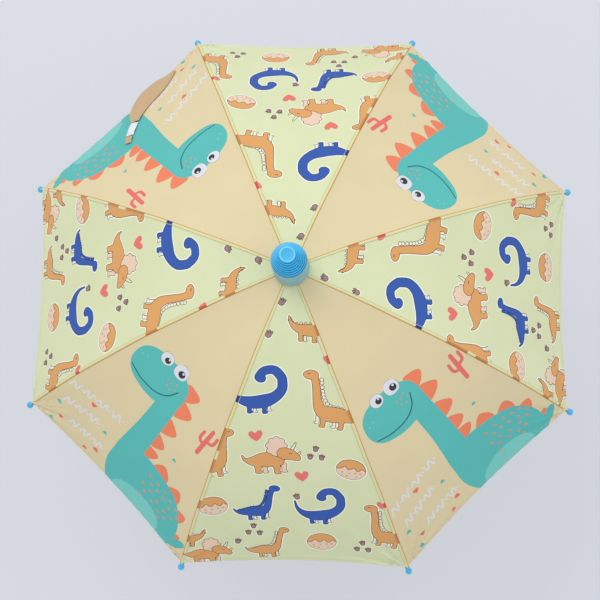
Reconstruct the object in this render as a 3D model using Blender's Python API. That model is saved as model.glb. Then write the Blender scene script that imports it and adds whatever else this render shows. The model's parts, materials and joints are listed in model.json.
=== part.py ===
"""A children's stick umbrella, open, with a telescoping plastic drip cover at its tip.

Metres, +Z up along the shaft. The origin is the middle of the hand grip, on the shaft's axis.
Eight curved ribs hinge on the crown, eight stretchers join them to a runner that slides on the shaft,
and eight cloth panels span the ribs. Panel 1 faces +X, and rib 1 is 22.5 degrees round from it.
"""

import math

import bmesh
import bpy
from mathutils import Matrix, Vector

# ---- Driving dimensions: metres, and degrees where named so ----
MM = 0.001
GAP = 0.3 * MM  # left between pieces that touch

RIB_COUNT = 8
CROWN_Z = 548 * MM  # height of the cloth where it meets the crown
PIVOT_RADIUS = 9 * MM  # rib and stretcher pivots, from the shaft's axis
PIVOT_DROP = 5.5 * MM  # rib pivots below the cloth
RIB_LENGTH = 475.4 * MM  # along the curve, from pivot to the middle of the ball tip
RIB_START_DEG = 4.8  # slope below level at the crown
RIB_END_DEG = 50.2  # slope at the tip
RIB_BELOW_CLOTH = 3.4 * MM  # rib centreline under the cloth
RIB_WIDTH = 2.2 * MM
RIB_HEIGHT = 2.6 * MM
EYE_RADIUS = 1.9 * MM
EYE_HOLE = 1.0 * MM
JOINT_ALONG_RIB = 230 * MM  # where the stretcher joins its rib
JOINT_BELOW_RIB = 4.4 * MM
LUG_RADIUS = 2.4 * MM
LUG_HOLE = 1.2 * MM
RIVET_RADIUS = 0.8 * MM

FORK_LENGTH = 7 * MM
FORK_INSIDE = 1.45 * MM
FORK_OUTSIDE = 2.3 * MM

TIP_BALL = 4.8 * MM
TIP_NECK = 3.2 * MM
TIP_NECK_LENGTH = 9 * MM
TIP_BORE = 2.1 * MM

CLOTH_THICK = 0.8 * MM
CLOTH_FROM = 2 * MM  # along the rib, from its pivot
CLOTH_CORNER = 9.5 * MM  # cloth corners end this far before the ball's middle
RIM_DIP = 8 * MM  # how far the hem curves in between two tips

SHAFT_RADIUS = 5 * MM
SHAFT_BORE = 4.35 * MM
SHAFT_BOTTOM = 20.3 * MM
SHAFT_ABOVE_CROWN = 30 * MM
SLIDE_BORE = 5.4 * MM
FIXED_BORE = 5.3 * MM
WIRE_RADIUS = 0.45 * MM

RUNNER_ABOVE_PIVOT = 4 * MM
RUNNER_BELOW_PIVOT = 24 * MM
FIN_THICK = 2.7 * MM

CATCH_THICK = 1.0 * MM
CATCH_LENGTH = 16 * MM
CATCH_OUT = 7.0 * MM
BOTTOM_CATCH_Z = 80 * MM

GRIP_TOP = 55 * MM
GRIP_BOTTOM = -45 * MM
GRIP_RADIUS = 11.8 * MM
HOOK_RADIUS = 28 * MM
HOOK_TUBE = 9.5 * MM
HOOK_END_UP = 20 * MM

RING_COUNT = 7
RING_RADIUS = 24 * MM
RING_STEP_IN = 1.86 * MM
RING_STEP_UP = 5.3 * MM
RING_HEIGHT = 50.5 * MM
RING_BASE = 0.5 * MM  # above the crown
RING_WALL = 1.1 * MM
RING_LIP = 0.46 * MM
RING_LIP_TALL = 1.0 * MM
CAP_DISC = 9.5 * MM

STRAP_PANEL = 4  # the panel that carries the closing strap
STRAP_THICK = 1.0 * MM
STRAP_OFF_CLOTH = 1.0 * MM
# Each point of a ribbon: mm along the ribs, -1 to 1 across the panel, and mm wide.
STRAP_ROUTE = ((453, -0.66, 18), (445, -0.50, 20), (442, -0.35, 20), (441, -0.23, 19), (434, -0.13, 17))
STRAP_ROUTE += ((425, -0.075, 15), (414, -0.04, 13))
PATCH_ROUTE = ((410.5, -0.015, 13), (394, 0.11, 13))
TAB_ROUTE = ((391.5, 0.125, 12), (381, 0.19, 10))

TURN = math.radians(360 / RIB_COUNT)
HALF_TURN = TURN / 2
SLOPE_0 = math.radians(RIB_START_DEG)
SLOPE_RATE = math.radians(RIB_END_DEG - RIB_START_DEG) / RIB_LENGTH


# ---- The umbrella's profile ----
def slope_at(s):
    return SLOPE_0 + SLOPE_RATE * s


def cloth_at(s):
    """(radius, height) of the cloth over a rib, s along the rib from its pivot."""
    slope = slope_at(s)
    radius = PIVOT_RADIUS + (math.sin(slope) - math.sin(SLOPE_0)) / SLOPE_RATE
    height = CROWN_Z + (math.cos(slope) - math.cos(SLOPE_0)) / SLOPE_RATE
    return radius, height


def rib_at(s):
    """(radius, height) of the rib's centreline, which starts lower, in the crown's slot."""
    radius, height = cloth_at(s)
    near = max(0.0, 1 - s / (60 * MM))
    drop = RIB_BELOW_CLOTH + (PIVOT_DROP - RIB_BELOW_CLOTH) * near**2
    return radius, height - drop / math.cos(slope_at(s))


def rib_joint():
    """(radius, height) of the pivot between a rib and its stretcher."""
    radius, height = rib_at(JOINT_ALONG_RIB)
    slope = slope_at(JOINT_ALONG_RIB)
    return radius - JOINT_BELOW_RIB * math.sin(slope), height - JOINT_BELOW_RIB * math.cos(slope)


RIB_PIVOT = rib_at(0)
JOINT = rib_joint()
RUNNER_PIVOT_Z = 2 * JOINT[1] - RIB_PIVOT[1]  # the stretcher is as long as the rib's inner part
STRETCHER_LENGTH = math.hypot(JOINT[0] - PIVOT_RADIUS, JOINT[1] - RUNNER_PIVOT_Z)
STRETCHER_SLOPE = math.atan2(JOINT[1] - RUNNER_PIVOT_Z, JOINT[0] - PIVOT_RADIUS)
TOP_CATCH_Z = RUNNER_PIVOT_Z - RUNNER_BELOW_PIVOT - 0.4 * MM


# ---- Making helpers ----
def clear_scene():
    for found in list(bpy.data.objects):
        bpy.data.objects.remove(found, do_unlink=True)


def material(name, colour, roughness, metallic=0.0, alpha=1.0):
    made = bpy.data.materials.new(name)
    made.use_nodes = True
    shader = made.node_tree.nodes["Principled BSDF"]
    shader.inputs["Base Color"].default_value = (*colour, 1.0)
    shader.inputs["Roughness"].default_value = roughness
    shader.inputs["Metallic"].default_value = metallic
    shader.inputs["Alpha"].default_value = alpha
    return made


def place(name, mesh, finish, matrix=Matrix.Identity(4), parent=None):
    if not mesh.materials:
        mesh.materials.append(finish)
    made = bpy.data.objects.new(name, mesh)
    bpy.context.scene.collection.objects.link(made)
    made.parent = parent
    made.matrix_world = matrix
    return made


def empty(name, matrix=Matrix.Identity(4)):
    made = bpy.data.objects.new(name, None)
    bpy.context.scene.collection.objects.link(made)
    made.matrix_world = matrix
    return made


def finished(name, shape):
    """A mesh from a bmesh, with its faces turned outwards and its round parts shaded smooth."""
    bmesh.ops.recalc_face_normals(shape, faces=shape.faces[:])
    mesh = bpy.data.meshes.new(name)
    shape.to_mesh(mesh)
    shape.free()
    mesh.shade_smooth()
    mesh.set_sharp_from_angle(angle=math.radians(35))
    return mesh


def turned(name, profile, steps):
    """A closed outline of (radius, height) points, spun round Z. A radius of 0 is one point."""
    shape = bmesh.new()
    rings = []
    for radius, height in profile:
        count = steps if radius > 0 else 1
        rings.append(
            [
                shape.verts.new((radius * math.cos(a), radius * math.sin(a), height))
                for a in (math.tau * i / steps for i in range(count))
            ]
        )
    for ring, after in zip(rings, rings[1:] + rings[:1]):
        for i in range(steps):
            j = (i + 1) % steps
            corners = [ring[i % len(ring)], ring[j % len(ring)]]
            corners += [after[j % len(after)], after[i % len(after)]]
            corners = list(dict.fromkeys(corners))
            if len(corners) > 2:
                shape.faces.new(corners)
    return finished(name, shape)


def arc(centre, radius, start, end, steps):
    """Points round a centre in the plane, from one angle to another."""
    return [
        (centre[0] + radius * math.cos(a), centre[1] + radius * math.sin(a))
        for a in (start + (end - start) * i / steps for i in range(steps + 1))
    ]


def cut_plate(name, outlines, thickness):
    """A plate in the XZ plane with the given outline, then its holes, centred on Y."""
    curve = bpy.data.curves.new(name, "CURVE")
    curve.dimensions = "2D"
    curve.fill_mode = "BOTH"
    curve.extrude = thickness / 2
    for outline in outlines:
        line = curve.splines.new("POLY")
        line.points.add(len(outline) - 1)
        for point, (x, z) in zip(line.points, outline):
            point.co = (x, z, 0, 1)
        line.use_cyclic_u = True
    holder = bpy.data.objects.new(name, curve)
    bpy.context.scene.collection.objects.link(holder)
    shape = bmesh.new()
    shape.from_mesh(holder.to_mesh())
    bpy.data.objects.remove(holder, do_unlink=True)
    bmesh.ops.remove_doubles(shape, verts=shape.verts[:], dist=1e-6)
    bmesh.ops.transform(shape, matrix=Matrix.Rotation(math.pi / 2, 4, "X"), verts=shape.verts[:])
    return finished(name, shape)


def box_at(shape, low, high, matrix=Matrix.Identity(4)):
    """Add a box between two corners to a bmesh."""
    middle = (Vector(low) + Vector(high)) / 2
    size = Vector(high) - Vector(low)
    placed = matrix @ Matrix.Translation(middle) @ Matrix.Diagonal((*size, 1))
    bmesh.ops.create_cube(shape, size=1, matrix=placed)


def rod_at(shape, radius, length, steps, matrix):
    """Add a rod along the matrix's Z, centred on it, to a bmesh."""
    bmesh.ops.create_cone(
        shape, cap_ends=True, segments=steps, radius1=radius, radius2=radius, depth=length, matrix=matrix
    )


def combined(mesh, tool, operation):
    """The mesh with another joined to it or cut from it."""
    body = bpy.data.objects.new("body", mesh)
    other = bpy.data.objects.new("tool", tool)
    for made in (body, other):
        bpy.context.scene.collection.objects.link(made)
    other.hide_render = True
    other.display_type = "WIRE"
    modifier = body.modifiers.new(operation, "BOOLEAN")
    modifier.operation = operation
    modifier.solver = "EXACT"
    modifier.object = other
    graph = bpy.context.evaluated_depsgraph_get()
    result = bpy.data.meshes.new_from_object(body.evaluated_get(graph))
    for made in (body, other):
        bpy.data.objects.remove(made, do_unlink=True)
    result.name = mesh.name
    result.shade_smooth()
    result.set_sharp_from_angle(angle=math.radians(35))
    return result


def round_z(angle):
    return Matrix.Rotation(angle, 4, "Z")


def rib_angle(index):
    return HALF_TURN + TURN * index


# ---- Ribs, stretchers and tips ----
def rib_mesh():
    """A flat strip bent along the rib's curve, with an eye at the crown and a lug for the stretcher."""
    half = RIB_HEIGHT / 2
    stations = 15

    def edge(s, side):
        radius, height = rib_at(s)
        slope = slope_at(s)
        return radius + side * half * math.sin(slope), height + side * half * math.cos(slope)

    end = RIB_LENGTH - 1 * MM
    lug_from, lug_to = JOINT_ALONG_RIB - LUG_RADIUS, JOINT_ALONG_RIB + LUG_RADIUS
    steps = [end * i / stations for i in range(1, stations + 1)]
    slope = slope_at(JOINT_ALONG_RIB)
    eye = arc(RIB_PIVOT, EYE_RADIUS, math.radians(35), math.radians(315), 9)
    lug = arc(JOINT, LUG_RADIUS, math.pi - slope, math.tau - slope, 6)
    outline = eye
    outline += [edge(s, -1) for s in steps if s < lug_from - 1 * MM]
    outline += [edge(lug_from, -1)] + lug + [edge(lug_to, -1)]
    outline += [edge(s, -1) for s in steps if s > lug_to + 1 * MM]
    outline += [edge(s, 1) for s in reversed(steps)]
    holes = [
        arc(RIB_PIVOT, EYE_HOLE, 0, math.tau * 7 / 8, 7),
        arc(JOINT, LUG_HOLE, 0, math.tau * 7 / 8, 7),
    ]
    return cut_plate("rib", [outline] + holes, RIB_WIDTH)


def stretcher_mesh():
    """A flat bar from the runner's ring to the rib: an eye at the origin, and a fork with a rivet."""
    half = RIB_HEIGHT / 2
    root = STRETCHER_LENGTH - FORK_LENGTH
    outline = arc((0, 0), EYE_RADIUS, math.radians(43), math.radians(317), 8)
    outline += [(root, -half), (root, half)]
    bar = cut_plate("stretcher", [outline, arc((0, 0), EYE_HOLE, 0, math.tau * 7 / 8, 7)], RIB_WIDTH)
    fork = bmesh.new()
    tip = STRETCHER_LENGTH + 2 * MM
    plan = [(-3, 0.9), (-1, FORK_OUTSIDE / MM), (0, FORK_OUTSIDE / MM)]
    across = [(root + x * MM, y * MM) for x, y in plan]
    across += [(tip, FORK_OUTSIDE), (tip, FORK_INSIDE), (root + 1.5 * MM, FORK_INSIDE)]
    across += [(x, -y) for x, y in reversed(across)]
    face = fork.faces.new([fork.verts.new((x, y, -half * 0.9)) for x, y in across])
    grown = bmesh.ops.extrude_face_region(fork, geom=[face])
    top = [v for v in grown["geom"] if isinstance(v, bmesh.types.BMVert)]
    bmesh.ops.translate(fork, verts=top, vec=(0, 0, RIB_HEIGHT * 0.9))
    bar = combined(bar, finished("fork", fork), "UNION")
    rivet = bmesh.new()
    across_fork = Matrix.Translation((STRETCHER_LENGTH, 0, 0)) @ Matrix.Rotation(math.pi / 2, 4, "X")
    rod_at(rivet, RIVET_RADIUS, 2 * FORK_OUTSIDE + 0.6 * MM, 8, across_fork)
    return combined(bar, finished("rivet", rivet), "UNION")


def tip_mesh():
    """A ball with a short neck that the rib's end goes into. Z runs out along the rib."""
    start = math.asin(TIP_NECK / TIP_BALL)
    ball = [
        (TIP_BALL * math.sin(a), -TIP_BALL * math.cos(a))
        for a in (start + (math.pi - start) * i / 6 for i in range(6))
    ]
    profile = [(TIP_BORE, -TIP_NECK_LENGTH), (TIP_NECK, -TIP_NECK_LENGTH)] + ball
    profile += [(0, TIP_BALL), (0, 0.3 * MM), (TIP_BORE, -0.5 * MM)]
    return turned("tip", profile, 10)


def make_ribs(steel, blue, frame):
    rib, stretcher, tip = rib_mesh(), stretcher_mesh(), tip_mesh()
    for index in range(RIB_COUNT):
        turn = round_z(rib_angle(index))
        number = index + 1
        hinge = empty(f"rib_hinge_{number}", turn @ Matrix.Translation((RIB_PIVOT[0], 0, RIB_PIVOT[1])))
        place(f"rib_{number}", rib, steel, turn, hinge)
        radius, height = rib_at(RIB_LENGTH)
        lean = Matrix.Rotation(math.pi / 2 + slope_at(RIB_LENGTH), 4, "Y")
        place(f"tip_{number}", tip, blue, turn @ Matrix.Translation((radius, 0, height)) @ lean, hinge)
        low = Matrix.Translation((PIVOT_RADIUS, 0, RUNNER_PIVOT_Z))
        tilt = Matrix.Rotation(-STRETCHER_SLOPE, 4, "Y")
        place(f"stretcher_{number}", stretcher, steel, turn @ low @ tilt, frame)


# ---- Cloth ----
def panel_point(s, across, depth=0.0):
    """A point on a panel that faces +X: s along the ribs, across from -1 to 1, depth under the cloth."""
    radius, height = cloth_at(s)
    slope = slope_at(s)
    normal = Vector((math.sin(slope), 0, math.cos(slope) * math.cos(HALF_TURN))).normalized()
    half_width = radius * math.sin(HALF_TURN) - GAP
    return Vector((radius * math.cos(HALF_TURN), across * half_width, height)) - depth * normal


def panel_mesh():
    """One cloth panel as a thin closed solid, straight across between its ribs, with a curved hem."""
    along, over = 12, 4
    shape = bmesh.new()
    grids = []
    for depth in (0.0, CLOTH_THICK):
        grid = []
        for i in range(along + 1):
            row = []
            for j in range(over + 1):
                across = 2 * j / over - 1
                end = RIB_LENGTH - CLOTH_CORNER - RIM_DIP * (1 - across**2)
                s = CLOTH_FROM + (end - CLOTH_FROM) * i / along
                row.append(shape.verts.new(panel_point(s, across, depth)))
            grid.append(row)
        grids.append(grid)
    for i in range(along):
        for j in range(over):
            for grid in grids:
                shape.faces.new([grid[i][j], grid[i + 1][j], grid[i + 1][j + 1], grid[i][j + 1]])
    top, under = grids
    border = [(i, 0) for i in range(along)] + [(along, j) for j in range(over)]
    border += [(i, over) for i in range(along, 0, -1)] + [(0, j) for j in range(over, 0, -1)]
    for (a, b), (c, d) in zip(border, border[1:] + border[:1]):
        shape.faces.new([top[a][b], top[c][d], under[c][d], under[a][b]])
    return finished("panel", shape)


def ribbon_mesh(name, route):
    """A flat ribbon lying on a panel, along a route given as above."""
    middle = [panel_point(s * MM, across, -STRAP_OFF_CLOTH) for s, across, _ in route]
    shape = bmesh.new()
    sections = []
    for index, centre in enumerate(middle):
        ahead = middle[min(index + 1, len(middle) - 1)] - middle[max(index - 1, 0)]
        slope = slope_at(route[index][0] * MM)
        normal = Vector((math.sin(slope), 0, math.cos(slope) * math.cos(HALF_TURN))).normalized()
        side = normal.cross(ahead).normalized() * route[index][2] * MM / 2
        lift = normal * STRAP_THICK
        corners = (centre - side, centre + side, centre + side + lift, centre - side + lift)
        sections.append([shape.verts.new(corner) for corner in corners])
    for one, two in zip(sections, sections[1:]):
        for k in range(4):
            shape.faces.new([one[k], one[(k + 1) % 4], two[(k + 1) % 4], two[k]])
    shape.faces.new(sections[0])
    shape.faces.new(sections[-1])
    return finished(name, shape)


def make_cloth(green, beige, white):
    shared = panel_mesh()
    meshes = (shared, shared.copy())
    for index in range(RIB_COUNT):
        turn = round_z(TURN * index)
        pivot = Matrix.Translation((PIVOT_RADIUS, 0, RIB_PIVOT[1]))
        hinge = empty(f"panel_hinge_{index + 1}", turn @ pivot)
        place(f"panel_{index + 1}", meshes[index % 2], (green, beige)[index % 2], turn, hinge)
        if index + 1 == STRAP_PANEL:
            place("closure_strap", ribbon_mesh("strap", STRAP_ROUTE), beige, turn, hinge)
            place("strap_patch", ribbon_mesh("patch", PATCH_ROUTE), white, turn, hinge)
            place("strap_tab", ribbon_mesh("tab", TAB_ROUTE), beige, turn, hinge)


# ---- Crown, runner, wires and shaft ----
def fins(shape, inside, outside, low, high):
    """Eight fins round Z, between the ribs' places."""
    for index in range(RIB_COUNT):
        corners = (inside, -FIN_THICK / 2, low), (outside, FIN_THICK / 2, high)
        box_at(shape, *corners, round_z(TURN * index))


def crown_mesh():
    """The slotted piece fixed on the shaft that the ribs hinge on. Z is 0 at the pivots."""
    profile = [(5.3, -4.1), (7.6, -4.1), (7.6, -2.3), (6.7, -2.3), (6.7, 2.3), (8.0, 2.3), (8.0, 4.1)]
    profile += [(5.3, 4.1)]
    core = turned("crown", [(r * MM, z * MM) for r, z in profile], 24)
    wings = bmesh.new()
    fins(wings, 6.3 * MM, 7.5 * MM, -3.2 * MM, 3.2 * MM)
    return combined(core, finished("fins", wings), "UNION")


def runner_mesh():
    """The slotted sleeve that slides on the shaft, with a groove that the catches pass in."""
    profile = [(5.4, -24), (9.0, -24), (9.0, -21.5), (8.0, -20.5), (8.0, -4.0), (7.8, -2.3)]
    profile += [(6.8, -2.3), (6.8, 2.3), (7.8, 2.3), (7.8, 4.0), (5.4, 4.0)]
    core = turned("runner", [(r * MM, z * MM) for r, z in profile], 24)
    wings = bmesh.new()
    fins(wings, 6.3 * MM, 8.1 * MM, -3.2 * MM, 3.2 * MM)
    core = combined(core, finished("fins", wings), "UNION")
    spine = bmesh.new()
    half = FIN_THICK / 2
    box_at(spine, (6.2 * MM, -half, -22.5 * MM), (8.25 * MM, half, 4.2 * MM))
    core = combined(core, finished("spine", spine), "UNION")
    groove = bmesh.new()
    box_at(groove, (4 * MM, -0.85 * MM, -30 * MM), (7.4 * MM, 0.85 * MM, 10 * MM))
    return combined(core, finished("groove", groove), "DIFFERENCE")


def wire_mesh():
    """The ring of wire through the eyes, round Z."""
    section = arc((PIVOT_RADIUS, 0), WIRE_RADIUS, 0, math.tau * 4 / 5, 4)
    return turned("wire", section, 32)


def shaft_mesh(top):
    """The tube, with a slot for each catch and a hole for the stop pin."""
    profile = [(SHAFT_BORE, SHAFT_BOTTOM), (SHAFT_RADIUS, SHAFT_BOTTOM), (SHAFT_RADIUS, top)]
    tube = turned("shaft", profile + [(SHAFT_BORE, top)], 16)
    cutter = bmesh.new()
    for catch_top in (BOTTOM_CATCH_Z, TOP_CATCH_Z):
        low = (3.6 * MM, -0.85 * MM, catch_top - CATCH_LENGTH + 3 * MM)
        box_at(cutter, low, (6 * MM, 0.85 * MM, catch_top + 0.4 * MM))
    rod_at(cutter, 1.2 * MM, 14 * MM, 8, stop_pin_place())
    return combined(tube, finished("slots", cutter), "DIFFERENCE")


def stop_pin_place():
    """Across the shaft, just above the runner."""
    height = RUNNER_PIVOT_Z + RUNNER_ABOVE_PIVOT + 2 * MM
    return Matrix.Translation((0, 0, height)) @ Matrix.Rotation(math.pi / 2, 4, "X")


def pin_mesh():
    shape = bmesh.new()
    rod_at(shape, 0.8 * MM, 13 * MM, 8, Matrix.Identity(4))
    return finished("pin", shape)


def catch_mesh():
    """A sprung leaf in the shaft, whose tooth stands out under the runner. Z is 0 at its top."""
    body = 3.9 * MM
    outline = [(1.5 * MM, 0), (CATCH_OUT, 0), (CATCH_OUT, -1.5 * MM), (body, -12 * MM)]
    outline += [(body, -CATCH_LENGTH), (1.5 * MM, -CATCH_LENGTH)]
    return cut_plate("catch", [outline], CATCH_THICK)


def make_middle(steel, blue, dark, frame):
    top = CROWN_Z + SHAFT_ABOVE_CROWN
    place("shaft", shaft_mesh(top), steel, parent=frame)
    place("stop_pin", pin_mesh(), steel, stop_pin_place(), frame)
    at_ribs = Matrix.Translation((0, 0, RIB_PIVOT[1]))
    place("crown", crown_mesh(), dark, at_ribs, frame)
    wire = wire_mesh()
    place("crown_wire", wire, steel, at_ribs, frame)
    at_runner = Matrix.Translation((0, 0, RUNNER_PIVOT_Z))
    place("runner", runner_mesh(), dark, at_runner, frame)
    place("runner_wire", wire, steel, at_runner, frame)
    catch = catch_mesh()
    place("top_catch", catch, steel, Matrix.Translation((0, 0, TOP_CATCH_Z)), frame)
    place("bottom_catch", catch, steel, Matrix.Translation((0, 0, BOTTOM_CATCH_Z)), frame)
    washer = [(5.3, -1.1), (9.8, -1.1), (9.8, 0.5), (13, 0.5), (13, 1.6), (5.3, 1.6)]
    washer = turned("washer", [(r * MM, z * MM) for r, z in washer], 24)
    place("crown_washer", washer, blue, Matrix.Translation((0, 0, CROWN_Z)), frame)
    plug = [(0, -10), (4.0, -10), (4.0, 0.3), (5.2, 0.3), (5.2, 2.2), (3.6, 4.0), (0, 4.6)]
    plug = turned("plug", [(r * MM, z * MM) for r, z in plug], 16)
    place("shaft_plug", plug, blue, Matrix.Translation((0, 0, top)), frame)


# ---- Handle ----
def handle_mesh():
    """A crook: a straight grip with a blind bore for the shaft, and a hook towards +X."""
    steps = 16
    straight = [(0, 0, z) for z in (GRIP_TOP - 2 * MM, 20 * MM, GRIP_BOTTOM)]
    sizes = [GRIP_RADIUS, GRIP_RADIUS, GRIP_RADIUS]
    leans = [0.0, 0.0, 0.0]
    bends = 11
    for i in range(1, bends + 1):
        angle = math.pi * i / bends
        x = HOOK_RADIUS * (1 - math.cos(angle))
        straight.append((x, 0, GRIP_BOTTOM - HOOK_RADIUS * math.sin(angle)))
        sizes.append(GRIP_RADIUS + (HOOK_TUBE - GRIP_RADIUS) * min(1, i / 5))
        leans.append(angle)
    end = (2 * HOOK_RADIUS, 0, GRIP_BOTTOM + HOOK_END_UP)
    for back, share in ((6.5, 1.0), (2.5, 0.86), (0.7, 0.55)):
        straight.append((end[0], 0, end[2] - back * MM))
        sizes.append(HOOK_TUBE * share)
        leans.append(math.pi)
    shape = bmesh.new()

    def ring(centre, radius, lean):
        made = []
        for k in range(steps):
            a = math.tau * k / steps
            flat = radius * math.cos(a)
            spot = (flat * math.cos(lean), radius * math.sin(a), flat * math.sin(lean))
            made.append(shape.verts.new(Vector(centre) + Vector(spot)))
        return made

    bore_floor = SHAFT_BOTTOM - GAP
    rings = [ring((0, 0, bore_floor), FIXED_BORE, 0), ring((0, 0, GRIP_TOP), FIXED_BORE, 0)]
    rings.append(ring((0, 0, GRIP_TOP), GRIP_RADIUS - 1.5 * MM, 0))
    rings += [ring(*row) for row in zip(straight, sizes, leans)]
    for one, two in zip(rings, rings[1:]):
        for k in range(steps):
            shape.faces.new([one[k], one[(k + 1) % steps], two[(k + 1) % steps], two[k]])
    shape.faces.new(rings[0])
    last = shape.verts.new(end)
    for k in range(steps):
        shape.faces.new([rings[-1][k], rings[-1][(k + 1) % steps], last])
    return finished("handle", shape)


def make_handle(blue, pale, frame):
    place("handle", handle_mesh(), blue, parent=frame)
    collar = [(5.3, 0.3), (8.5, 0.3), (8.5, 4.5), (7.0, 7.0), (5.3, 7.0)]
    collar = turned("collar", [(r * MM, z * MM) for r, z in collar], 24)
    place("handle_collar", collar, pale, Matrix.Translation((0, 0, GRIP_TOP)), frame)


# ---- Drip cover ----
def ring_profile(index):
    """The outline of one ring, from the outermost, which is 0. Its top lip turns in, its foot out."""
    outside = RING_RADIUS - RING_STEP_IN * index
    inside = outside - RING_WALL
    low = RING_BASE + RING_STEP_UP * index
    high = low + RING_HEIGHT
    foot = RING_LIP if index else 0.0
    lip = RING_LIP
    return [
        (inside, low),
        (outside + foot, low),
        (outside + foot, low + RING_LIP_TALL),
        (outside, low + RING_LIP_TALL),
        (outside, high),
        (inside - lip, high),
        (inside - lip, high - RING_LIP_TALL),
        (inside, high - RING_LIP_TALL),
    ]


def cap_profile():
    """The innermost piece: like a ring, but closed by a flat disc."""
    outside = RING_RADIUS - RING_STEP_IN * RING_COUNT
    inside = outside - RING_WALL
    low = RING_BASE + RING_STEP_UP * RING_COUNT
    high = low + RING_HEIGHT
    return [
        (inside, low),
        (outside + RING_LIP, low),
        (outside + RING_LIP, low + RING_LIP_TALL),
        (outside, low + RING_LIP_TALL),
        (outside, high - 1.5 * MM),
        (CAP_DISC, high),
        (0, high),
        (0, high - 1.6 * MM),
        (inside, high - 1.6 * MM),
    ]


def make_cover(blue, frosted, frame):
    base = Matrix.Translation((0, 0, CROWN_Z))
    for index in range(RING_COUNT):
        mesh = turned(f"ring_{index + 1}", ring_profile(index), 24)
        place(f"cover_ring_{index + 1}", mesh, blue if index else frosted, base, frame)
    place("cover_cap", turned("cap", cap_profile(), 24), blue, base, frame)


def main():
    clear_scene()
    frame = empty("frame")
    steel = material("steel", (0.62, 0.63, 0.64), 0.3, 1.0)
    blue = material("blue_plastic", (0.11, 0.53, 0.84), 0.3)
    frosted = material("frosted_plastic", (0.55, 0.70, 0.78), 0.45, alpha=0.6)
    dark = material("dark_plastic", (0.05, 0.05, 0.055), 0.45)
    pale = material("pale_plastic", (0.86, 0.88, 0.86), 0.4)
    green = material("green_cloth", (0.72, 0.80, 0.48), 0.85)
    beige = material("beige_cloth", (0.86, 0.78, 0.60), 0.85)
    white = material("white_hook_tape", (0.80, 0.80, 0.78), 0.9)
    make_middle(steel, blue, dark, frame)
    make_ribs(steel, blue, frame)
    make_cloth(green, beige, white)
    make_handle(blue, pale, frame)
    make_cover(blue, frosted, frame)


main()
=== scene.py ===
"""The looks of a children's umbrella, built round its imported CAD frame.

Metres, +Z up along the shaft, with the origin in the middle of the hand grip. Cloth is laid out flat
first: x runs across a panel and s down it from the crown. Prints are drawn on that flat cloth in
millimetres, and each panel is then bent to the curve of its ribs.
"""
import json
import math

import bmesh
import bpy
import numpy as np
from mathutils import Matrix, Vector, noise
from mathutils.geometry import delaunay_2d_cdt


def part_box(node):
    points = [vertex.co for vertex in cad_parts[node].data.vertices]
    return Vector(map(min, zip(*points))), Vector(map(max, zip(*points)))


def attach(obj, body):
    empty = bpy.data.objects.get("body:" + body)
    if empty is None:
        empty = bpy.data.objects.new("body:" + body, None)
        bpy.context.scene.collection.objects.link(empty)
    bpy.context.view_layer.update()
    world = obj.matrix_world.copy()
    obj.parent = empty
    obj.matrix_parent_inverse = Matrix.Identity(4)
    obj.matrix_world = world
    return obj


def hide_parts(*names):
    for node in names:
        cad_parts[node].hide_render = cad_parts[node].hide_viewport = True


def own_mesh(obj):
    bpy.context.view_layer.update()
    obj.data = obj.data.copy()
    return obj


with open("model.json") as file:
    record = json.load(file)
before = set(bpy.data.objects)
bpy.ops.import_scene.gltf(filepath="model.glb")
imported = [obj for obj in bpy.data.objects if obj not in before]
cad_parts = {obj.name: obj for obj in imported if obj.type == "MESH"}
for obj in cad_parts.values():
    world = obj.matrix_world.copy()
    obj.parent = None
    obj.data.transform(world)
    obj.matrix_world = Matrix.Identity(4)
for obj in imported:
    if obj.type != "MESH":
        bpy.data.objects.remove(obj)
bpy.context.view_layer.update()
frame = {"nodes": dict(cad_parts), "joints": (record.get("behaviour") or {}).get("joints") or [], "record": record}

MM = 0.001
JOINTS = {joint["name"]: joint for joint in frame["joints"]}

# ---- Sizes, in metres unless named otherwise ----
RIB_COUNT = 8
TURN = math.tau / RIB_COUNT
HALF_TURN = TURN / 2
PIVOT = Vector(JOINTS["canopy_fold"]["pos_m"])
PIVOT_RADIUS = PIVOT.xy.length
PIVOT_DROP = 5.5 * MM  # from the cloth down to the ribs' pivots
CROWN_Z = PIVOT.z + PIVOT_DROP
RIB_LENGTH = 475.4 * MM
SLOPE_START = math.radians(4.8)
SLOPE_END = math.radians(50.2)
SLOPE_RATE = (SLOPE_END - SLOPE_START) / RIB_LENGTH
RIB_BELOW_CLOTH = 3.4 * MM

CLOTH_FROM = 2 * MM
CLOTH_CORNER = 9.5 * MM
CLOTH_THICK = 0.4 * MM
SEAM_GAP = 0.3 * MM
RIM_DIP = 8 * MM
HEM_WIDE = 7 * MM
HEM_RAISE = 0.35 * MM
SAG = 4.5 * MM
CORNER_S = RIB_LENGTH - CLOTH_CORNER
TIP_BALL = 4.8 * MM

# ---- Sizes on the flat cloth, in mm ----
WELD = 0.5  # the cell in which the print's points are made one
NEAR = 1e-5  # the distance below which the triangulation takes two points as one
CREASED = 62  # round each corner, where the cloth is cut finer for its creases
# Rows of points that fill the cloth: from, to, between rows, between points,
# and whether they are only in the creased corners
GRID = ((8, 372, 6.6, 7.6, False), (374, 466, 4.0, 4.6, False), (400, 466, 2.4, 2.7, True))
LINE_WIDE = 0.85  # the dark line round a printed figure
HALO_WIDE = 2.3  # the pale edge round that
HALO_FROM = 45  # in mm2: a part smaller than this has no pale edge

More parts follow.
